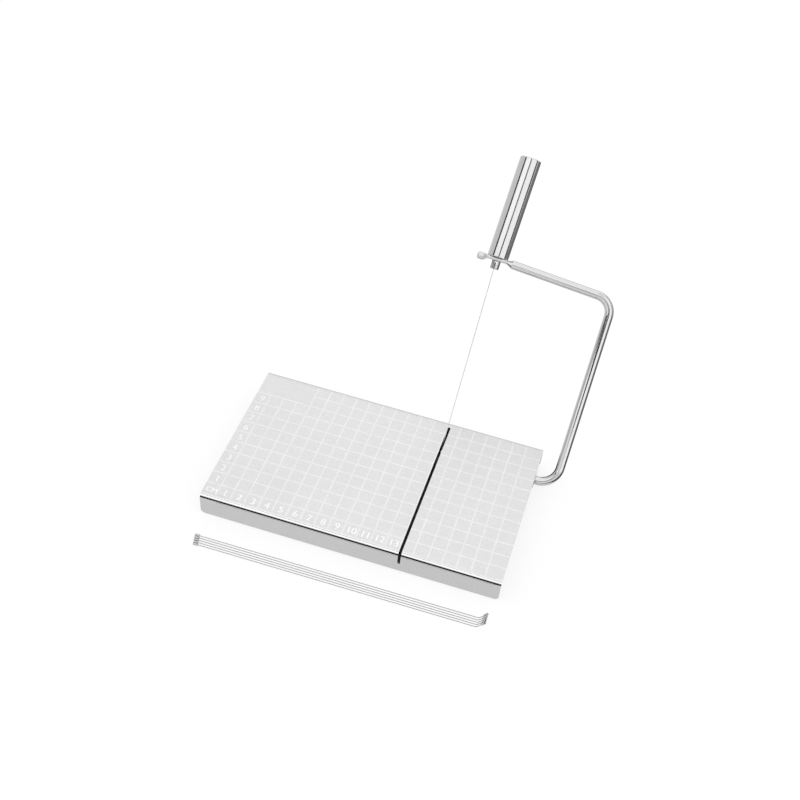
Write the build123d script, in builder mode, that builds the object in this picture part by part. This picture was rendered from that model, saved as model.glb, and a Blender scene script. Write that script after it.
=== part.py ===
from build123d import *
import math
import os

# A wire cheese slicer: a folded steel board on rubber feet, and a bent rod that
# swings on a hinge under the board and pulls a cutting wire down into a slot.
# Millimetres, Z up, X along the board to the right, Y to the rear. The origin is
# the centre of the front left foot's underside, which stands on the table.

# Board: one sheet, bent down along its front and its rear edge
board_length = 212.4
board_depth = 125.5
board_height = 18.9
sheet = 1.0
bend_radius = 4.0
flange_corner = 3.0

# Slot that the wire drops into
slot_width = 2.0
slot_from_right = 70.4
slot_rear_margin = 6.0
notch_clearance = 1.75

# Feet: a rubber bumper on a welded stud under each corner
foot_inset_x = 16.0
foot_inset_y = 12.0
foot_proud = 0.8
foot_diameter = 13.0
foot_taper = 1.0
foot_edge = 0.8
stud_diameter = 4.0
stud_length = 9.0
stud_collar_diameter = 6.0
stud_collar_height = 0.8
stud_fit = 0.02
stud_tip_room = 1.0

# Hinge of the bow
hinge_from_rear = 23.65
hinge_drop = 9.45
rod_diameter = 6.5
running_clearance = 0.05
bracket_thickness = 1.5
bracket_inner_bend = 1.0
bracket_round_margin = 0.02
slot_bracket_from_slot = 6.5
slot_bracket_width = 15.0
slot_bracket_foot = 15.0
slot_bracket_wall_round_hole = 3.4
edge_bracket_width = 12.0
edge_bracket_foot = 8.0
edge_bracket_wall_round_hole = 2.8

# Bow: one rod, bent at two elbows, with an eye pressed flat near its end
open_angle = 43.6
leg_standoff = 14.9
wire_overhang = 36.8
leg_spread = 4.7
bar_slope = 4.6
handle_lean = 3.4
lower_elbow = 13.5
upper_elbow = 12.5
inner_end_length = 4.2
anchor_cut = 0.9
anchor_shift = 0.8
eye_shift = 1.85
eye_thickness = 2.4
eye_width = 12.6
eye_leg_side = 8.0
eye_leg_blend = 3.8
blend_overlap = 0.5
eye_tail_side = 7.0
tail_thickness = 5.4
tail_drop = 0.8
tail_width = 7.4
tail_blend = 3.0
tail_length = 4.6
tail_round = 1.6
press_step = 0.01

# Retaining ring and stop pin on the hinge rod
ring_outer_diameter = 10.5
ring_thickness = 0.8
ring_gap = 0.3
groove_depth = 0.7
groove_side_play = 0.05
ring_fit = 0.02
ring_mouth = 4.2
stop_pin_diameter = 2.5
stop_pin_angle = 50.0
stop_pin_from_ring = 28.0
stop_gap = 0.3
pin_fit = 0.01

# Cutting wire and its crimped ferrules
wire_diameter = 0.5
ferrule_diameter = 1.7
ferrule_length = 3.4
ferrule_fit = 0.01
ferrule_chamfer = 0.15
ferrule_seat = 0.6
seat_clearance = 0.15
seat_play = 0.02
wire_kink = 0.6
wire_top_shift = -0.35

# Tension screw and handle
screw_thread_diameter = 6.0
screw_shank_diameter = 6.5
screw_below_eye = 5.9
screw_tip_chamfer = 0.4
shank_above_eye = 5.0
thread_length = 22.0
cross_hole_diameter = 2.6
cross_hole_below_eye = 1.75
screw_saw_cut = 1.0
eye_clearance = 0.1
thread_fit = 0.05
handle_diameter = 15.6
handle_wall = 1.2
handle_length = 74.0
handle_gap = 0.3
handle_rim = 0.9
handle_rim_share = 0.9
handle_foot_chamfer = 0.3
core_length = 30.0
core_fit = 0.02
core_counterbore_room = 3.0
cap_thickness = 5.0
cap_recess = 0.4
cap_dish = 0.6
cap_dish_floor_share = 0.5
cap_dish_mouth_share = 0.8

# Spare wires, side by side on the table in front of the board
spare_left = 4.3
spare_left_step = 0.45
spare_right = 204.1
spare_front_gaps_left = (19.1, 20.95, 22.8, 24.6, 26.4)
spare_front_gaps_right = (17.5, 19.35, 21.2, 23.0, 24.8)
spare_kink_angle = 56.0
spare_kink_radius = 2.5
spare_tip_length = 5.5

# Levels and places that follow from the sizes above
top_z = board_height + foot_proud
under_z = top_z - sheet
left_x = -foot_inset_x
right_x = left_x + board_length
front_y = -foot_inset_y
rear_y = front_y + board_depth
slot_x = right_x - slot_from_right
hinge_y = rear_y - hinge_from_rear
hinge_z = top_z - hinge_drop
leg_length = board_depth - hinge_from_rear + wire_overhang
rod_radius = rod_diameter / 2
wire_radius = wire_diameter / 2
ferrule_radius = ferrule_diameter / 2
hinge_bore_radius = rod_radius + running_clearance

# The bow lies in one plane through the hinge axis. In it u runs along the hinge
# axis, v outwards from the axis, and n points to the front and up.
tilt = math.radians(open_angle)
bow_plane = Plane(
    origin=(0, hinge_y, hinge_z),
    x_dir=(1, 0, 0),
    z_dir=(0, -math.cos(tilt), math.sin(tilt)),
)
slope = math.radians(bar_slope)
lean = math.radians(handle_lean)
leg_foot_u = right_x + leg_standoff
leg_top_u = leg_foot_u + leg_spread
eye_u = slot_x + eye_shift
blend_end = eye_leg_side + eye_leg_blend
bar_end_u = eye_u + blend_end * math.cos(lean)
bar_end_v = leg_length + (leg_top_u - bar_end_u) * math.tan(slope)
eye_v = bar_end_v + blend_end * math.sin(lean)


def bow_point(u, v, n=0.0):
    """A point of the bow's plane, in the model's frame."""
    return bow_plane.from_local_coords((u, v, n))


def bow_direction(u, v, n=0.0):
    """A direction of the bow's plane, in the model's frame."""
    return bow_point(u, v, n) - bow_point(0, 0, 0)


# The handle's axis stands square on the pressed eye. Its plane starts at the eye's
# centre, with X along the eye towards the leg.
eye_right = bow_direction(math.cos(lean), -math.sin(lean))
handle_up = bow_direction(math.sin(lean), math.cos(lean))
bow_front = bow_direction(0, 0, 1)
eye_centre = bow_point(eye_u, eye_v)
handle_plane = Plane(origin=eye_centre, x_dir=eye_right, z_dir=handle_up)


def eye_section(s):
    """The plane across the eye, s towards the leg, with X to the front and Y outwards."""
    return Plane(origin=eye_centre + eye_right * s, x_dir=bow_front, z_dir=-eye_right)


# The wire's upper end turns from its own direction into the cross hole at this point
cross_hole_z = -eye_thickness / 2 - cross_hole_below_eye
hole_room = cross_hole_diameter / 2 - ferrule_radius - seat_play
ferrule_sag = math.sqrt(hole_room**2 - wire_top_shift**2)
wire_top_z = cross_hole_z - ferrule_sag
wire_top_u = eye_u + wire_top_z * math.sin(lean) + wire_top_shift * math.cos(lean)
wire_top_v = eye_v + wire_top_z * math.cos(lean) - wire_top_shift * math.sin(lean)
anchor_u = slot_x - anchor_shift
wire_lean = math.atan2(wire_top_u - anchor_u, wire_top_v)
wire_out = bow_direction(math.sin(wire_lean), math.cos(wire_lean))
wire_side = bow_direction(math.cos(wire_lean), -math.sin(wire_lean))
anchor_plane = Plane(origin=bow_point(anchor_u, 0), x_dir=wire_side, z_dir=wire_out)
seat_level = -(rod_radius - ferrule_seat)


def finish(builder, name):
    """Label a finished piece and write its file."""
    builder.part.label = name
    export_step(builder.part, f"parts/{name}.step")


def make_base_plate():
    """The folded sheet with its wire slot and the notch at the slot's front end."""
    mid_y = (front_y + rear_y) / 2
    with BuildPart() as base_plate:
        with BuildSketch(Plane.YZ.offset(left_x)) as outside:
            with Locations((mid_y, top_z - board_height / 2)):
                Rectangle(board_depth, board_height)
            fillet(outside.vertices().group_by(Axis.Y)[-1], bend_radius)
        extrude(amount=board_length)
        with BuildSketch(Plane.YZ.offset(left_x)) as inside:
            with Locations((mid_y, under_z - board_height / 2)):
                Rectangle(board_depth - 2 * sheet, board_height)
            fillet(inside.vertices().group_by(Axis.Y)[-1], bend_radius - sheet)
        extrude(amount=board_length, mode=Mode.SUBTRACT)
        lower_ends = base_plate.edges().filter_by(Axis.Y).group_by(Axis.Z)[0]
        fillet(lower_ends, flange_corner)

        # The slot runs along the top and ends as a notch in the front flange
        slot_end_y = rear_y - slot_rear_margin
        with BuildSketch(Plane.XY.offset(under_z - bend_radius)):
            with Locations((slot_x, (front_y - sheet + slot_end_y - slot_width / 2) / 2)):
                Rectangle(slot_width, slot_end_y - slot_width / 2 - front_y + sheet)
            with Locations((slot_x, slot_end_y - slot_width / 2)):
                Circle(slot_width / 2)
        extrude(amount=sheet + 2 * bend_radius, mode=Mode.SUBTRACT)
        notch_bottom = hinge_z - wire_radius - notch_clearance
        notch_height = top_z - notch_bottom
        with BuildSketch(Plane.XZ.offset(-front_y - sheet * 2)):
            with Locations((slot_x, notch_bottom + slot_width / 2)):
                Circle(slot_width / 2)
            with Locations((slot_x, notch_bottom + slot_width / 2 + notch_height / 2)):
                Rectangle(slot_width, notch_height)
        extrude(amount=sheet * 3, mode=Mode.SUBTRACT)
    finish(base_plate, "base_plate")


def foot_places():
    """Centres of the four feet, by name."""
    far_x = left_x + board_length - foot_inset_x
    far_y = rear_y - foot_inset_y
    return {
        "foot_front_left": (0, 0),
        "foot_front_right": (far_x, 0),
        "foot_rear_left": (0, far_y),
        "foot_rear_right": (far_x, far_y),
    }


def make_foot(name, place):
    """One rubber bumper with the blind hole that its stud screws into."""
    upper = foot_diameter / 2
    lower = upper - foot_taper
    with BuildPart() as foot:
        with BuildSketch(Plane.XY):
            with Locations(place):
                Circle(lower)
        with BuildSketch(Plane.XY.offset(under_z)):
            with Locations(place):
                Circle(upper)
        loft()
        fillet(foot.edges().group_by(Axis.Z)[0], foot_edge)
        with BuildSketch(Plane.XY.offset(under_z)):
            with Locations(place):
                Circle(stud_collar_diameter / 2 + stud_fit)
        extrude(amount=-stud_collar_height - stud_fit, mode=Mode.SUBTRACT)
        with BuildSketch(Plane.XY.offset(under_z)):
            with Locations(place):
                Circle(stud_diameter / 2 + stud_fit)
        extrude(amount=-stud_length - stud_tip_room, mode=Mode.SUBTRACT)
    finish(foot, name)


def make_foot_studs():
    """The four studs welded under the sheet, each with its weld collar."""
    places = list(foot_places().values())
    with BuildPart() as foot_studs:
        with BuildSketch(Plane.XY.offset(under_z)):
            with Locations(*places):
                Circle(stud_collar_diameter / 2)
        extrude(amount=-stud_collar_height)
        with BuildSketch(Plane.XY.offset(under_z)):
            with Locations(*places):
                Circle(stud_diameter / 2)
        extrude(amount=-stud_length)
    finish(foot_studs, "foot_studs")


def make_bracket(name, wall_x, away, width, foot, wall_round_hole):
    """One angle welded under the sheet; its foot runs away from the wall's outer face."""
    head_radius = hinge_bore_radius + wall_round_hole
    wall_bottom = hinge_z - head_radius
    inner_x = wall_x + away * bracket_thickness
    foot_x = wall_x + away * foot
    with BuildPart() as bracket:
        with BuildSketch(Plane.XZ.offset(-hinge_y - width / 2)):
            with BuildLine():
                FilletPolyline(
                    (foot_x, under_z),
                    (wall_x, under_z),
                    (wall_x, wall_bottom),
                    radius=bracket_inner_bend + bracket_thickness,
                )
                Line((wall_x, wall_bottom), (inner_x, wall_bottom))
                FilletPolyline(
                    (inner_x, wall_bottom),
                    (inner_x, under_z - bracket_thickness),
                    (foot_x, under_z - bracket_thickness),
                    radius=bracket_inner_bend,
                )
                Line((foot_x, under_z - bracket_thickness), (foot_x, under_z))
            make_face()
        extrude(amount=width)
        lower_ends = bracket.edges().filter_by(Axis.X).group_by(Axis.Z)[0]
        fillet(lower_ends, min(head_radius, width / 2) - bracket_round_margin)
        with BuildSketch(Plane.YZ.offset(wall_x - away * bracket_thickness)):
            with Locations((hinge_y, hinge_z)):
                Circle(hinge_bore_radius)
        extrude(amount=3 * away * bracket_thickness, mode=Mode.SUBTRACT)
    finish(bracket, name)


def make_hinge_brackets():
    """The bracket beside the slot and the one at the board's right edge."""
    make_bracket(
        "slot_bracket",
        slot_x + slot_bracket_from_slot,
        1,
        slot_bracket_width,
        slot_bracket_foot,
        slot_bracket_wall_round_hole,
    )
    make_bracket(
        "edge_bracket",
        right_x,
        -1,
        edge_bracket_width,
        edge_bracket_foot,
        edge_bracket_wall_round_hole,
    )


ring_x = right_x - bracket_thickness - ring_gap - ring_thickness
stop_pin_x = ring_x - stop_pin_from_ring
pin_direction = math.radians(stop_pin_angle)
pin_radius = stop_pin_diameter / 2
pin_reach_up = under_z - stop_gap - hinge_z
pin_tip = (pin_reach_up - pin_radius * math.cos(pin_direction)) / math.sin(pin_direction)
pin_plane = Plane(
    origin=(stop_pin_x, hinge_y, hinge_z),
    x_dir=(1, 0, 0),
    z_dir=(0, -math.cos(pin_direction), math.sin(pin_direction)),
)


def make_bow_arm():
    """The bent rod, with its pressed eye, wire anchor, ring groove and pin hole."""
    rod_start_u = anchor_u - inner_end_length
    rod_end = (
        bar_end_u - blend_overlap * math.cos(slope),
        bar_end_v + blend_overlap * math.sin(slope),
    )
    with BuildPart() as bow_arm:
        with BuildLine(bow_plane) as path:
            FilletPolyline(
                (rod_start_u, 0),
                (leg_foot_u, 0),
                (leg_top_u, leg_length),
                rod_end,
                radius=[lower_elbow, upper_elbow],
            )
        with BuildSketch(Plane(origin=path.line @ 0, z_dir=path.line % 0)):
            Circle(rod_radius)
        sweep()

        # The eye: the rod is pressed flat, and its tail is left half pressed
        round_side = rod_diameter - 2 * press_step
        with BuildSketch(eye_section(blend_end)):
            RectangleRounded(round_side, round_side, round_side / 2 - press_step)
        with BuildSketch(eye_section(eye_leg_side)):
            RectangleRounded(eye_width, eye_thickness, eye_thickness / 2 - press_step)
        loft()
        with BuildSketch(eye_section(eye_leg_side)):
            RectangleRounded(eye_width, eye_thickness, eye_thickness / 2 - press_step)
        extrude(amount=eye_leg_side + eye_tail_side)
        with BuildSketch(eye_section(-eye_tail_side)):
            RectangleRounded(eye_width, eye_thickness, eye_thickness / 2 - press_step)
        with BuildSketch(eye_section(-eye_tail_side - tail_blend)):
            with Locations((0, -tail_drop)):
                RectangleRounded(tail_width, tail_thickness, tail_thickness / 2 - press_step)
        loft()
        with BuildSketch(eye_section(-eye_tail_side - tail_blend)):
            with Locations((0, -tail_drop)):
                RectangleRounded(tail_width, tail_thickness, tail_thickness / 2 - press_step)
        extrude(amount=tail_length)
        tail_end = bow_arm.faces().sort_by(Axis(tuple(eye_centre), tuple(eye_right)))[0]
        fillet(tail_end.edges(), tail_round)
        with BuildSketch(handle_plane):
            Circle(screw_shank_diameter / 2 + eye_clearance)
        extrude(amount=rod_diameter, both=True, mode=Mode.SUBTRACT)

        # The inner end is sawn open, so that a wire slips in sideways, and its
        # ferrule rests in a round seat on the far side of the rod
        saw_length = anchor_u + anchor_cut / 2 - rod_start_u
        with BuildSketch(Plane(origin=bow_point(rod_start_u, 0), x_dir=bow_front, z_dir=wire_out)):
            with Locations((0, saw_length / 2)):
                Rectangle(anchor_cut, saw_length)
        extrude(amount=rod_diameter, both=True, mode=Mode.SUBTRACT)
        with BuildSketch(anchor_plane.offset(seat_level)):
            Circle(ferrule_radius + seat_clearance)
        extrude(amount=-rod_diameter, mode=Mode.SUBTRACT)

        # Groove of the retaining ring and hole of the stop pin
        with BuildSketch(Plane.YZ.offset(ring_x - groove_side_play)):
            with Locations((hinge_y, hinge_z)):
                Circle(rod_diameter)
                Circle(rod_radius - groove_depth, mode=Mode.SUBTRACT)
        extrude(amount=ring_thickness + 2 * groove_side_play, mode=Mode.SUBTRACT)
        with BuildSketch(pin_plane):
            Circle(pin_radius + pin_fit)
        extrude(amount=rod_diameter, both=True, mode=Mode.SUBTRACT)
    finish(bow_arm, "bow_arm")


def make_retaining_ring():
    """The snap ring in the rod's groove, open on one side."""
    inner_radius = rod_radius - groove_depth + ring_fit
    with BuildPart() as retaining_ring:
        with BuildSketch(Plane.YZ.offset(ring_x)) as profile:
            with Locations((hinge_y, hinge_z)):
                Circle(ring_outer_diameter / 2)
                Circle(inner_radius, mode=Mode.SUBTRACT)
            with Locations((hinge_y, hinge_z - ring_outer_diameter / 2)):
                Rectangle(ring_mouth, ring_outer_diameter, mode=Mode.SUBTRACT)
        extrude(amount=ring_thickness)
    finish(retaining_ring, "retaining_ring")


def make_stop_pin():
    """The pin through the rod that meets the sheet when the bow is open."""
    with BuildPart() as stop_pin:
        with BuildSketch(pin_plane.offset(-rod_radius)):
            Circle(pin_radius)
        extrude(amount=rod_radius + pin_tip)
    finish(stop_pin, "stop_pin")


def make_ferrule(name, plane):
    """One crimped barrel that starts at a plane and runs along its Z."""
    with BuildPart() as ferrule:
        with BuildSketch(plane):
            Circle(ferrule_radius)
        extrude(amount=ferrule_length)
        chamfer(ferrule.edges().filter_by(GeomType.CIRCLE), ferrule_chamfer)
        with BuildSketch(plane):
            Circle(wire_radius + ferrule_fit)
        extrude(amount=ferrule_length, mode=Mode.SUBTRACT)
    if name:
        finish(ferrule, name)
    return ferrule.part


def make_cutting_wire():
    """The taut wire, with its ferrule at the hinge and the one in the screw."""
    turn_point = bow_point(wire_top_u, wire_top_v)
    lower_seat = anchor_plane.from_local_coords((0, 0, seat_level - seat_play))
    lower_end = lower_seat - wire_out * ferrule_length
    upper_start = turn_point + bow_front * wire_kink
    upper_end = upper_start + bow_front * ferrule_length
    with BuildPart() as cutting_wire:
        with BuildLine() as path:
            FilletPolyline(lower_end, turn_point, upper_end, radius=wire_kink)
        with BuildSketch(Plane(origin=path.line @ 0, z_dir=path.line % 0)):
            Circle(wire_radius)
        sweep()
    finish(cutting_wire, "cutting_wire")
    make_ferrule("wire_ferrule_lower", Plane(origin=lower_seat, z_dir=-wire_out))
    make_ferrule("wire_ferrule_upper", Plane(origin=upper_start, z_dir=bow_front))


def make_tension_screw():
    """The screw that holds the wire's upper end and threads into the handle."""
    bottom_z = -eye_thickness / 2 - screw_below_eye
    shank_top_z = eye_thickness / 2 + shank_above_eye
    with BuildPart() as tension_screw:
        with BuildSketch(handle_plane.offset(bottom_z)):
            Circle(screw_shank_diameter / 2)
        extrude(amount=shank_top_z - bottom_z)
        chamfer(tension_screw.edges().filter_by(GeomType.CIRCLE), screw_tip_chamfer)
        with BuildSketch(handle_plane.offset(shank_top_z)):
            Circle(screw_thread_diameter / 2)
        extrude(amount=thread_length)
        across = Plane(origin=eye_centre, x_dir=eye_right, z_dir=bow_front)
        with BuildSketch(across):
            with Locations((0, cross_hole_z)):
                Circle(cross_hole_diameter / 2)
            with Locations((0, (bottom_z - screw_tip_chamfer + cross_hole_z) / 2)):
                Rectangle(screw_saw_cut, cross_hole_z - bottom_z + screw_tip_chamfer)
        extrude(amount=screw_shank_diameter, both=True, mode=Mode.SUBTRACT)
    finish(tension_screw, "tension_screw")


handle_start = eye_thickness / 2 + handle_gap
handle_bore_radius = handle_diameter / 2 - handle_wall


def make_handle_tube():
    """The grip: a plain tube with a rounded upper rim."""
    with BuildPart() as handle_tube:
        with BuildSketch(handle_plane.offset(handle_start)):
            Circle(handle_diameter / 2)
        extrude(amount=handle_length)
        along = Axis(tuple(eye_centre), tuple(handle_up))
        rims = handle_tube.edges().filter_by(GeomType.CIRCLE).sort_by(along)
        fillet(rims[-1], min(handle_rim, handle_wall * handle_rim_share))
        chamfer(handle_tube.edges().filter_by(GeomType.CIRCLE).sort_by(along)[0], handle_foot_chamfer)
        with BuildSketch(handle_plane.offset(handle_start)):
            Circle(handle_bore_radius)
        extrude(amount=handle_length, mode=Mode.SUBTRACT)
    finish(handle_tube, "handle_tube")


def make_handle_core():
    """The threaded plug pressed into the foot of the grip."""
    counterbore = shank_above_eye + core_counterbore_room
    with BuildPart() as handle_core:
        with BuildSketch(handle_plane.offset(handle_start)):
            Circle(handle_bore_radius - core_fit)
        extrude(amount=core_length)
        with BuildSketch(handle_plane.offset(handle_start)):
            Circle(screw_shank_diameter / 2 + eye_clearance)
        extrude(amount=counterbore, mode=Mode.SUBTRACT)
        with BuildSketch(handle_plane.offset(handle_start)):
            Circle(screw_thread_diameter / 2 + thread_fit)
        extrude(amount=core_length, mode=Mode.SUBTRACT)
    finish(handle_core, "handle_core")


def make_handle_cap():
    """The plug that closes the top of the grip, set in and slightly dished."""
    cap_top = handle_start + handle_length - cap_recess
    cap_radius = handle_bore_radius - core_fit
    with BuildPart() as handle_end_cap:
        with BuildSketch(handle_plane.offset(cap_top - cap_thickness)):
            Circle(cap_radius)
        extrude(amount=cap_thickness)
        with BuildSketch(handle_plane.offset(cap_top - cap_dish)):
            Circle(cap_radius * cap_dish_floor_share)
        with BuildSketch(handle_plane.offset(cap_top)):
            Circle(cap_radius * cap_dish_mouth_share)
        loft(mode=Mode.SUBTRACT)
    finish(handle_end_cap, "handle_end_cap")


def spare_route(index):
    """Left end, kink and tip of one spare wire that rests on the table."""
    left = Vector(
        left_x + spare_left + index * spare_left_step,
        front_y - spare_front_gaps_left[index],
        ferrule_radius,
    )
    kink = Vector(
        left_x + spare_right,
        front_y - spare_front_gaps_right[index],
        wire_radius,
    )
    run = (kink - left).normalized()
    angle = math.radians(spare_kink_angle)
    flat = Vector(run.X, run.Y, 0).normalized()
    tip_direction = flat * math.cos(angle) + Vector(0, 0, math.sin(angle))
    tip = kink + tip_direction * (spare_tip_length + ferrule_length)
    return left, kink, tip, run, tip_direction


def make_spare(index):
    """One spare wire with its straight end, its kinked end and two ferrules."""
    left, kink, tip, run, tip_direction = spare_route(index)
    number = index + 1
    with BuildPart() as spare_wire:
        with BuildLine() as path:
            FilletPolyline(left, kink, tip, radius=spare_kink_radius)
        with BuildSketch(Plane(origin=path.line @ 0, z_dir=path.line % 0)):
            Circle(wire_radius)
        sweep()
    finish(spare_wire, f"spare_wire_{number}")
    flat_run = Vector(run.X, run.Y, 0).normalized()
    left_ferrule = make_ferrule("", Plane(origin=left, z_dir=flat_run))
    tip_start = tip - tip_direction * ferrule_length
    tip_ferrule = make_ferrule("", Plane(origin=tip_start, z_dir=tip_direction))
    with BuildPart() as ferrules:
        add(left_ferrule)
        add(tip_ferrule)
    finish(ferrules, f"spare_ferrules_{number}")


os.makedirs("parts", exist_ok=True)
make_base_plate()
make_hinge_brackets()
make_foot_studs()
for foot_name, foot_place in foot_places().items():
    make_foot(foot_name, foot_place)
make_bow_arm()
make_retaining_ring()
make_stop_pin()
make_cutting_wire()
make_tension_screw()
make_handle_tube()
make_handle_core()
make_handle_cap()
for spare_index in range(len(spare_front_gaps_left)):
    make_spare(spare_index)
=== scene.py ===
import math

import bmesh
import bpy
from mathutils import Euler, Matrix, Vector


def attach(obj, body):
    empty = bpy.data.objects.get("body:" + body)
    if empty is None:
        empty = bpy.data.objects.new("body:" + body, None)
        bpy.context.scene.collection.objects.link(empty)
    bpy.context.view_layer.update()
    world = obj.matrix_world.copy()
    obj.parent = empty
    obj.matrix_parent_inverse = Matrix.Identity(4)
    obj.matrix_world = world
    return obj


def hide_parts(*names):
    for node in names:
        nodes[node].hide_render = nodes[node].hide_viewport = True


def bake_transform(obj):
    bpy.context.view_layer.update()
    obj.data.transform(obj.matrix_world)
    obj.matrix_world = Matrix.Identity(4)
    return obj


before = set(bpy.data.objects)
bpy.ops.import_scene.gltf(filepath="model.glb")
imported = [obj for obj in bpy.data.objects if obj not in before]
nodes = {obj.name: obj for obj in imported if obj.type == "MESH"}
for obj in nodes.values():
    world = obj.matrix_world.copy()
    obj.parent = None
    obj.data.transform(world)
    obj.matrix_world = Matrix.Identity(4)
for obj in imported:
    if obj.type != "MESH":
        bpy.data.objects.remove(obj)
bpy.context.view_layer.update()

MM = 0.001

# Sizes repeated from the part, in millimetres
TOP_Z = 19.7
BEND_RADIUS = 4.0
GRID_X, GRID_Y = -15.59, -9.44
GRID_PITCH = 10.0

# The grip's direction and the two across it
UP_ALONG = Vector((0.0593064, 0.6884057, 0.7228972)).normalized()
TO_RIGHT = (Vector((1.0, 0.0, 0.0)) - UP_ALONG * UP_ALONG.x).normalized()
TO_FRONT = TO_RIGHT.cross(UP_ALONG)

# The etched grid, counted in pitches from GRID_X and GRID_Y. Column lines have
# a fixed x and row lines a fixed y.
LINE_HALF = 0.018
LINE_SOFT = 0.06
COLUMNS = (0.5, 20.5)
ROWS = (0.5, 11.5)
COLUMN_START = -0.02
# The first three column lines stop at row 10, the others go on past row 12
SHORT_COLUMNS_END = 3.5
SHORT_COLUMN_LENGTH = 10.02
LONG_COLUMN_EXTRA = 2.1
# The last row line starts at column 4
LAST_ROW = 10.5
LAST_ROW_START = 3.98

# Etched figures, in millimetres: lift over the sheet, lift between the copies
# that make a stroke bolder, and how far these stand aside
FIGURE_LIFT = 0.02
COPY_LIFT = 0.004
COPY_ASIDE = 0.13
FIGURE_SIZE = 7.4
UNIT_SIZE = 5.6

# The middle part of a noise's values, over which a roughness changes
NOISE_LOW, NOISE_HIGH = 0.3, 0.7

# Sockets of a mix node that mixes colours
MIX_A, MIX_B, MIX_RESULT = 6, 7, 2

# Floor: half its width and its height in metres, its grey in plain light, and
# the white that camera and gloss see, of which the shaded part is lit
FLOOR_HALF = 3.0
FLOOR_Z = -0.0001
FLOOR_GREY = 0.8
FLOOR_WHITE = 1.02
FLOOR_SHADED = 0.2
# Middle and half size of the floor that the board covers, where the floor's white is left out
# as painted shade, in millimetres, and how softly this ends, in metres
BOARD_MIDDLE = (90.2, 51.2)
BOARD_HALF = (102.0, 62.0)
BOARD_SOFT = (0.003, 0.0008)

# Patches stand on spheres round the bow. Turn runs round the grip's direction,
# from the front to the right, and rise runs from the front up towards it.
MIDDLE = Vector((0.15, 0.17, 0.09))
SPHERE = 1.5
LOW_SPHERE = 1.48
DARK_SPHERE = 1.47
CELLS = 16
# Height of the cards that lie on the floor, and place of those before the board
ON_FLOOR = 0.0004
BEFORE_BOARD = -0.030


# Node helpers for materials

class Graph:
    """A material, with short ways to add its nodes and link them."""

    def __init__(self, name):
        self.material = bpy.data.materials.new(name)
        self.material.use_nodes = True
        self.tree = self.material.node_tree
        self.tree.nodes.clear()
        out = self.tree.nodes.new("ShaderNodeOutputMaterial")
        self.shader = self.tree.nodes.new("ShaderNodeBsdfPrincipled")
        self.tree.links.new(self.shader.outputs["BSDF"], out.inputs["Surface"])
        coords = self.tree.nodes.new("ShaderNodeTexCoord")
        self.place = coords.outputs["Object"]

    def feed(self, socket, value):
        """Link a socket to another one, or give it a plain value."""
        if isinstance(value, bpy.types.NodeSocket):
            self.tree.links.new(value, socket)
        else:
            socket.default_value = value

    def set(self, name, value):
        self.feed(self.shader.inputs[name], value)

    def node(self, kind, **inputs):
        made = self.tree.nodes.new(kind)
        for key, value in inputs.items():
            self.feed(made.inputs[key], value)
        return made

    def math(self, operation, *values):
        made = self.tree.nodes.new("ShaderNodeMath")
        made.operation = operation
        for index, value in enumerate(values):
            self.feed(made.inputs[index], value)
        return made.outputs[0]

    def add(self, total, *others):
        for other in others:
            total = self.math("ADD", total, other)
        return total

    def times(self, product, *others):
        for other in others:
            product = self.math("MULTIPLY", product, other)
        return product

    def without(self, value):
        return self.math("SUBTRACT", 1.0, value)

    def around(self, noise, amount):
        """A noise that varies by amount round zero."""
        return self.times(self.math("SUBTRACT", noise, 0.5), amount)

    def between(self, value, low, high):
        """1 from low to high and 0 elsewhere, with hard ends."""
        return self.times(self.math("GREATER_THAN", value, low),
                          self.math("LESS_THAN", value, high))

    def span(self, value, low, high, to_low, to_high):
        made = self.tree.nodes.new("ShaderNodeMapRange")
        made.clamp = True
        for key, number in (("From Min", low), ("From Max", high),
                            ("To Min", to_low), ("To Max", to_high)):
            made.inputs[key].default_value = number
        self.tree.links.new(value, made.inputs["Value"])
        return made.outputs["Result"]

    def band(self, value, centre, half, soft):
        """1 where value lies within half of centre, falling to 0 over soft."""
        away = self.math("ABSOLUTE", self.math("SUBTRACT", value, centre))
        return self.span(away, half, half + soft, 1.0, 0.0)

    def step(self, value, edge, soft):
        """0 below the edge and 1 above it."""
        return self.span(value, edge - soft, edge + soft, 0.0, 1.0)

    def split(self, vector):
        made = self.tree.nodes.new("ShaderNodeSeparateXYZ")
        self.tree.links.new(vector, made.inputs[0])
        return made.outputs[0], made.outputs[1], made.outputs[2]

    def scaled(self, scale, turn=(0.0, 0.0, 0.0)):
        made = self.tree.nodes.new("ShaderNodeMapping")
        made.inputs["Scale"].default_value = scale
        made.inputs["Rotation"].default_value = turn
        self.tree.links.new(self.place, made.inputs["Vector"])
        return made.outputs[0]

    def noise(self, vector, scale, detail, rough=0.6):
        made = self.node("ShaderNodeTexNoise", Vector=vector, Scale=scale,
                         Detail=detail, Roughness=rough)
        return made.outputs["Fac"]

    def mix(self, factor, a, b):
        made = self.tree.nodes.new("ShaderNodeMix")
        made.data_type = "RGBA"
        self.feed(made.inputs["Factor"], factor)
        self.feed(made.inputs[MIX_A], a)
        self.feed(made.inputs[MIX_B], b)
        return made.outputs[MIX_RESULT]

    def bump(self, height, strength, distance):
        made = self.node("ShaderNodeBump", Height=height, Strength=strength,
                         Distance=distance)
        self.set("Normal", made.outputs["Normal"])

    def paint(self, value):
        """A grey base colour."""
        made = self.node("ShaderNodeCombineColor", Red=value, Green=value, Blue=value)
        self.set("Base Color", made.outputs[0])

    def roughen(self, noise, low, high):
        """A roughness from low to high that follows a noise."""
        self.set("Roughness", self.span(noise, NOISE_LOW, NOISE_HIGH, low, high))


def grey(value):
    return (value, value, value, 1.0)


# Materials

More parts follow.
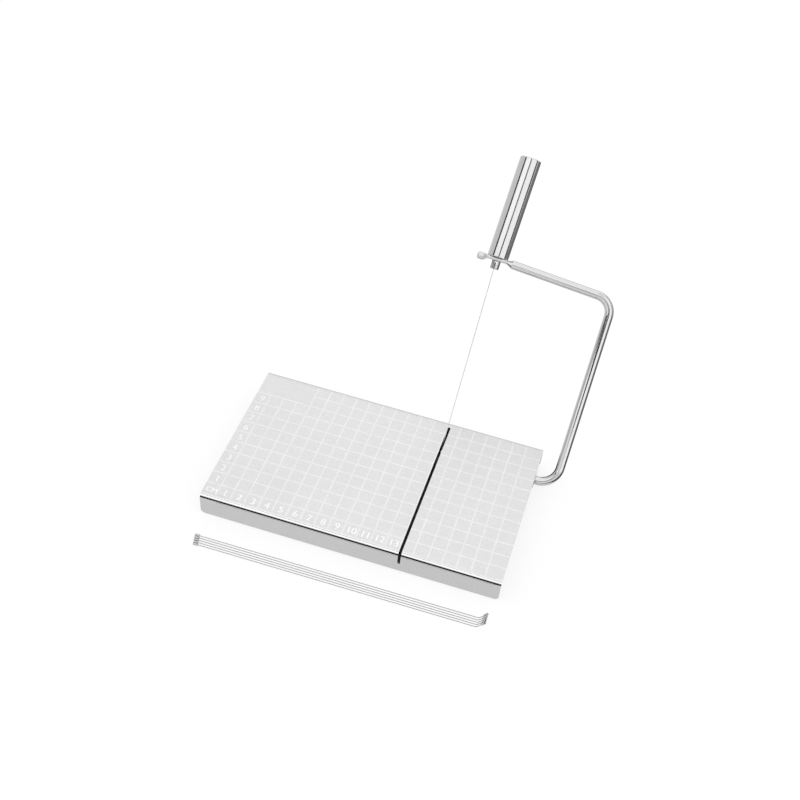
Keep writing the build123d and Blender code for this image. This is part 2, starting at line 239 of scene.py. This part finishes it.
def etched_grid(g, x, y):
    """1 on the etched lines and 0 beside them."""
    column = g.math("DIVIDE", g.math("SUBTRACT", x, GRID_X * MM), GRID_PITCH * MM)
    row = g.math("DIVIDE", g.math("SUBTRACT", y, GRID_Y * MM), GRID_PITCH * MM)
    column_lines = g.band(column, g.math("ROUND", column), LINE_HALF, LINE_SOFT)
    row_lines = g.band(row, g.math("ROUND", row), LINE_HALF, LINE_SOFT)

    long_column = g.step(column, SHORT_COLUMNS_END, 0.02)
    column_end = g.add(SHORT_COLUMN_LENGTH, g.times(long_column, LONG_COLUMN_EXTRA))
    column_on = g.times(g.between(row, COLUMN_START, column_end),
                        g.between(column, *COLUMNS))

    in_last_row = g.math("GREATER_THAN", row, LAST_ROW)
    left_of_it = g.math("LESS_THAN", column, LAST_ROW_START)
    row_on = g.times(g.between(row, *ROWS), g.without(g.times(in_last_row, left_of_it)))
    return g.math("MAXIMUM", g.times(column_lines, column_on), g.times(row_lines, row_on))


def board_material():
    """Brushed steel, grained from left to right, with the etched grid on its top."""
    g = Graph("board_steel")
    x, y, z = g.split(g.place)
    on_top = g.step(z, (TOP_Z - 0.05) * MM, 0.02 * MM)
    wear = g.span(g.noise(g.place, 330.0, 2.0), 0.35, 0.65, 0.55, 1.0)
    etched = g.times(etched_grid(g, x, y), wear, on_top)

    grain = g.noise(g.scaled((90.0, 5200.0, 5200.0)), 1.0, 3.0)
    cloud = g.noise(g.place, 38.0, 2.0, 0.5)
    mottle = g.noise(g.place, 1000.0, 2.0)
    tone = g.add(g.around(grain, 0.08), g.around(cloud, 0.03), g.around(mottle, 0.17))

    # The folds are smoother than the faces beside them
    flat = g.step(z, (TOP_Z - 0.2) * MM, 0.15 * MM)
    above_flanges = g.step(z, (TOP_Z - BEND_RADIUS) * MM, 0.4 * MM)
    fold = g.times(above_flanges, g.without(flat))

    g.paint(g.add(0.56, tone, g.times(flat, 0.02), g.times(etched, 0.11)))
    g.set("Metallic", g.without(g.times(flat, 0.25)))
    rough = g.add(0.22, g.times(grain, 0.08), g.times(flat, 0.12), g.times(etched, 0.1))
    g.set("Roughness", g.math("SUBTRACT", rough, g.times(fold, 0.12)))
    g.bump(grain, 0.05, 0.00002)
    return g.material


def rod_material():
    g = Graph("polished_steel")
    fine = g.noise(g.scaled((900.0, 900.0, 900.0), (0.6, 0.2, 0.4)), 1.0, 4.0)
    streak = g.noise(g.scaled((2600.0, 260.0, 260.0), (0.5, 0.35, 0.3)), 1.0, 2.0, 0.5)
    g.paint(g.add(0.52, g.around(streak, 0.06)))
    g.set("Metallic", 1.0)
    g.roughen(fine, 0.07, 0.13)
    g.bump(streak, 0.03, 0.00002)
    return g.material


def handle_material():
    g = Graph("handle_steel")
    streak = g.noise(g.scaled((2200.0, 200.0, 200.0), (0.7, 0.35, 0.5)), 1.0, 3.0)
    fine = g.noise(g.place, 1400.0, 3.0)
    g.paint(g.add(0.52, g.around(streak, 0.05)))
    g.set("Metallic", 1.0)
    g.roughen(fine, 0.08, 0.15)
    g.bump(streak, 0.03, 0.00002)
    return g.material


def plain_metal(name, value, rough_low, rough_high, scale=900.0, bump=0.05):
    g = Graph(name)
    fine = g.noise(g.place, scale, 4.0)
    g.paint(g.add(value, g.around(fine, 0.12)))
    g.set("Metallic", 1.0)
    g.roughen(fine, rough_low, rough_high)
    g.bump(fine, bump, 0.00003)
    return g.material


def rubber_material():
    g = Graph("foot_rubber")
    fine = g.noise(g.place, 1600.0, 4.0)
    broad = g.noise(g.place, 160.0, 2.0, 0.5)
    g.paint(g.add(0.018, g.times(broad, 0.014)))
    g.roughen(fine, 0.62, 0.8)
    g.bump(fine, 0.25, 0.00005)
    return g.material


def figure_material():
    g = Graph("etched_figures")
    fine = g.noise(g.place, 2400.0, 3.0)
    g.paint(g.add(0.80, g.around(fine, 0.08)))
    g.set("Metallic", 0.3)
    g.roughen(fine, 0.6, 0.75)
    return g.material


board_steel = board_material()
polished = rod_material()
handle_steel = handle_material()
screw_steel = plain_metal("screw_steel", 0.42, 0.14, 0.22)
spring_steel = plain_metal("spring_steel", 0.34, 0.25, 0.4)
wire_steel = plain_metal("wire_steel", 0.36, 0.2, 0.3, scale=2600.0)
cutting_steel = plain_metal("cutting_steel", 0.55, 0.2, 0.3, scale=2600.0)
ferrule_metal = plain_metal("ferrule_metal", 0.5, 0.24, 0.38, scale=1500.0, bump=0.15)
# Much darker than the other barrels: painted shade of the cross hole that it fills
painted_shade_ferrule = plain_metal("painted_shade_ferrule", 0.1, 0.28, 0.42, scale=1500.0, bump=0.15)
bracket_steel = plain_metal("bracket_steel", 0.5, 0.22, 0.34)
foot_rubber = rubber_material()
figures_etched = figure_material()

looks = {
    "base_plate": board_steel,
    "slot_bracket": bracket_steel,
    "edge_bracket": bracket_steel,
    "foot_studs": screw_steel,
    "bow_arm": polished,
    "retaining_ring": spring_steel,
    "stop_pin": spring_steel,
    "cutting_wire": cutting_steel,
    "wire_ferrule_lower": ferrule_metal,
    "wire_ferrule_upper": painted_shade_ferrule,
    "tension_screw": screw_steel,
    "handle_tube": handle_steel,
    "handle_core": screw_steel,
    "handle_end_cap": handle_steel,
}
looks_by_start = {
    "foot_": foot_rubber,
    "spare_wire": wire_steel,
    "spare_ferrules": ferrule_metal,
}
for name, node in nodes.items():
    if name in looks:
        chosen = looks[name]
    else:
        chosen = next(look for start, look in looks_by_start.items() if name.startswith(start))
    if not node.material_slots:
        node.data.materials.append(chosen)
    for place in node.material_slots:
        place.material = chosen


# The taut wire: a copy of the cutting wire with its place baked into the mesh
taut_wire = bpy.data.objects.new("taut_wire", nodes["cutting_wire"].data.copy())
bpy.context.scene.collection.objects.link(taut_wire)
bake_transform(taut_wire)
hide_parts("cutting_wire")


# Etched figures along the front row and the left column

def figure(text, x, y, size):
    """Meshes of flat strokes, with their middle at x and y in the grid."""
    curve = bpy.data.curves.new("figure_" + text, "FONT")
    curve.body = text
    curve.size = size * MM
    curve.align_x = "CENTER"
    curve.align_y = "CENTER"
    made = bpy.data.objects.new("figure_curve", curve)
    bpy.context.scene.collection.objects.link(made)
    bpy.context.view_layer.update()
    copies = []
    for number, aside in enumerate((-COPY_ASIDE, 0.0, COPY_ASIDE)):
        seen = made.evaluated_get(bpy.context.evaluated_depsgraph_get())
        mesh = bpy.data.meshes.new_from_object(seen)
        mesh.transform(Matrix.Translation((
            (GRID_X + x + aside) * MM,
            (GRID_Y + y) * MM,
            (TOP_Z + FIGURE_LIFT + COPY_LIFT * number) * MM)))
        copies.append(mesh)
    bpy.data.objects.remove(made)
    return copies


def join_meshes(name, meshes, material):
    shape = bmesh.new()
    for mesh in meshes:
        shape.from_mesh(mesh)
        bpy.data.meshes.remove(mesh)
    mesh = bpy.data.meshes.new(name)
    shape.to_mesh(mesh)
    shape.free()
    mesh.materials.append(material)
    made = bpy.data.objects.new(name, mesh)
    bpy.context.scene.collection.objects.link(made)
    return made


strokes = figure("CM", 5.6, 3.9, UNIT_SIZE)
for number in range(1, 14):
    strokes += figure(str(number), number * GRID_PITCH + 5.3, 4.2, FIGURE_SIZE)
for number in range(1, 10):
    strokes += figure(str(number), 5.2, number * GRID_PITCH + 4.3, FIGURE_SIZE)
figures = join_meshes("etched_figures", strokes, figures_etched)
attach(figures, "base")


# Camera at the photograph's angle

camera_data = bpy.data.cameras.new("camera")
camera_data.sensor_width = 36.0
camera_data.lens = 53.3753
camera_data.shift_x = -0.08797
camera_data.shift_y = 0.0095
camera = bpy.data.objects.new("camera", camera_data)
camera.location = (0.223403, -0.464202, 0.664780)
camera.rotation_euler = Euler([math.radians(a) for a in (42.67425, -6.50600, 15.42563)], "XYZ")
bpy.context.scene.collection.objects.link(camera)
bpy.context.scene.camera = camera


# Floor, world and the cards and patches that show only in gloss

def glow(name, mesh, radiance):
    """A panel that shows in gloss and gives the object no other light."""
    made = bpy.data.objects.new(name, mesh)
    material = bpy.data.materials.new(name)
    material.use_nodes = True
    tree = material.node_tree
    tree.nodes.clear()
    out = tree.nodes.new("ShaderNodeOutputMaterial")
    shade = tree.nodes.new("ShaderNodeEmission")
    shade.inputs["Color"].default_value = grey(1.0)
    shade.inputs["Strength"].default_value = radiance
    tree.links.new(shade.outputs[0], out.inputs["Surface"])
    mesh.materials.append(material)
    bpy.context.scene.collection.objects.link(made)
    made.visible_camera = False
    made.visible_diffuse = False
    made.visible_shadow = False
    made.visible_transmission = False


def card(name, across, low_edge, high_edge, radiance):
    """A flat panel between two edges, each a y and a z, that run across in x."""
    left, right = across
    corners = [(left, *low_edge), (right, *low_edge), (right, *high_edge), (left, *high_edge)]
    mesh = bpy.data.meshes.new(name)
    mesh.from_pydata(corners, [], [(0, 1, 2, 3)])
    glow(name, mesh, radiance)


def patch(name, turn, rise, radiance, distance=SPHERE):
    """A part of a sphere round the bow, with turn and rise from and to in degrees."""
    points, faces = [], []
    for i in range(CELLS + 1):
        a = math.radians(turn[0] + (turn[1] - turn[0]) * i / CELLS)
        for j in range(CELLS + 1):
            b = math.radians(rise[0] + (rise[1] - rise[0]) * j / CELLS)
            ring = TO_FRONT * math.cos(a) + TO_RIGHT * math.sin(a)
            points.append(MIDDLE + (ring * math.cos(b) + UP_ALONG * math.sin(b)) * distance)
    for i in range(CELLS):
        for j in range(CELLS):
            k = i * (CELLS + 1) + j
            faces.append((k, k + 1, k + CELLS + 2, k + CELLS + 1))
    mesh = bpy.data.meshes.new(name)
    mesh.from_pydata(points, [], faces)
    glow(name, mesh, radiance)


def floor():
    """A plain pale floor, white to the camera and to gloss, which keeps a soft shadow, with a
    painted shade where its white is left out under the board.
    """
    mesh = bpy.data.meshes.new("floor")
    r = FLOOR_HALF
    mesh.from_pydata([(-r, -r, 0), (r, -r, 0), (r, r, 0), (-r, r, 0)], [], [(0, 1, 2, 3)])
    made = bpy.data.objects.new("floor", mesh)
    g = Graph("floor")
    rays = g.tree.nodes.new("ShaderNodeLightPath")
    seen = g.math("MAXIMUM", rays.outputs["Is Camera Ray"], rays.outputs["Is Glossy Ray"])
    seen = g.math("MAXIMUM", seen, rays.outputs["Is Transmission Ray"])
    # Painted shade: under the board the floor isn't white, so that the wire's slot shows dark
    x, y, _ = g.split(g.place)
    in_x = g.band(x, BOARD_MIDDLE[0] * MM, BOARD_HALF[0] * MM, BOARD_SOFT[0])
    in_y = g.band(y, BOARD_MIDDLE[1] * MM, BOARD_HALF[1] * MM, BOARD_SOFT[1])
    floor_outside_painted_shade = g.without(g.times(in_x, in_y))
    g.set("Base Color", g.mix(seen, grey(FLOOR_GREY), grey(FLOOR_SHADED)))
    g.set("Emission Color", grey(1.0))
    g.set("Emission Strength", g.times(seen, floor_outside_painted_shade, FLOOR_WHITE - FLOOR_SHADED))
    g.set("Roughness", 0.9)
    g.set("Specular IOR Level", 0.0)
    mesh.materials.append(g.material)
    made.location.z = FLOOR_Z
    bpy.context.scene.collection.objects.link(made)


floor()

world = bpy.data.worlds.new("world")
bpy.context.scene.world = world
world.use_nodes = True
background = world.node_tree.nodes["Background"]
background.inputs["Color"].default_value = grey(1.0)
background.inputs["Strength"].default_value = 1.0

bpy.context.scene.view_settings.view_transform = "Standard"

# What the grip sees in front of it, from left to right
patch("left_edge", (-57.0, -41.0), (3.2, 16.0), 0.05)
patch("box_left", (-41.0, 6.5), (3.2, 14.0), 1.75)
patch("box_above", (-41.0, 6.5), (14.0, 66.0), 1.5)
patch("gap", (6.5, 18.5), (3.2, 14.0), 0.15)
patch("box_right", (18.5, 76.0), (-14.0, 60.0), 1.6)
patch("right_edge", (76.0, 92.0), (-30.0, 64.0), 0.07)
card("right_near", (0.225, 0.36), (-0.5, ON_FLOOR), (1.1, ON_FLOOR), 0.15)
card("right_far", (0.36, 2.2), (-0.5, ON_FLOOR), (1.1, ON_FLOOR), 0.3)
# What the leg sees in front of it
patch("leg_box", (-46.0, -10.0), (-14.0, -1.6), 1.6)
patch("leg_dip", (-95.0, -50.0), (-14.0, 3.2), 0.72)
patch("leg_dark_low", (-8.0, 18.5), (-5.8, -2.5), 0.03, DARK_SPHERE)
patch("leg_dark_middle", (-18.0, 18.5), (-2.5, -0.4), 0.03, DARK_SPHERE)
patch("leg_dark_top", (-60.0, 18.5), (-0.4, 3.2), 0.02, DARK_SPHERE)
# What the bar and the front bend see below the camera
patch("box_low", (-46.0, -3.0), (-26.0, -6.0), 1.25, LOW_SPHERE)
# What the top of the board sees behind it
card("rear_panel", (-0.95, 0.75), (1.10, 0.55), (0.95, 1.9), 1.5)
# What the front bend sees low in front of it: a dark card with a bright one over it
card("front_card", (-0.3, 0.5), (BEFORE_BOARD, 0.0095), (BEFORE_BOARD, 0.022), 0.0)
card("front_glow", (-0.3, 0.5), (BEFORE_BOARD, 0.0265), (BEFORE_BOARD, 0.041), 2.0)
# What the underside of the bar sees on the table
card("front_floor", (-0.25, 0.5), (-0.6, ON_FLOOR), (-0.07, ON_FLOOR), 1.35)
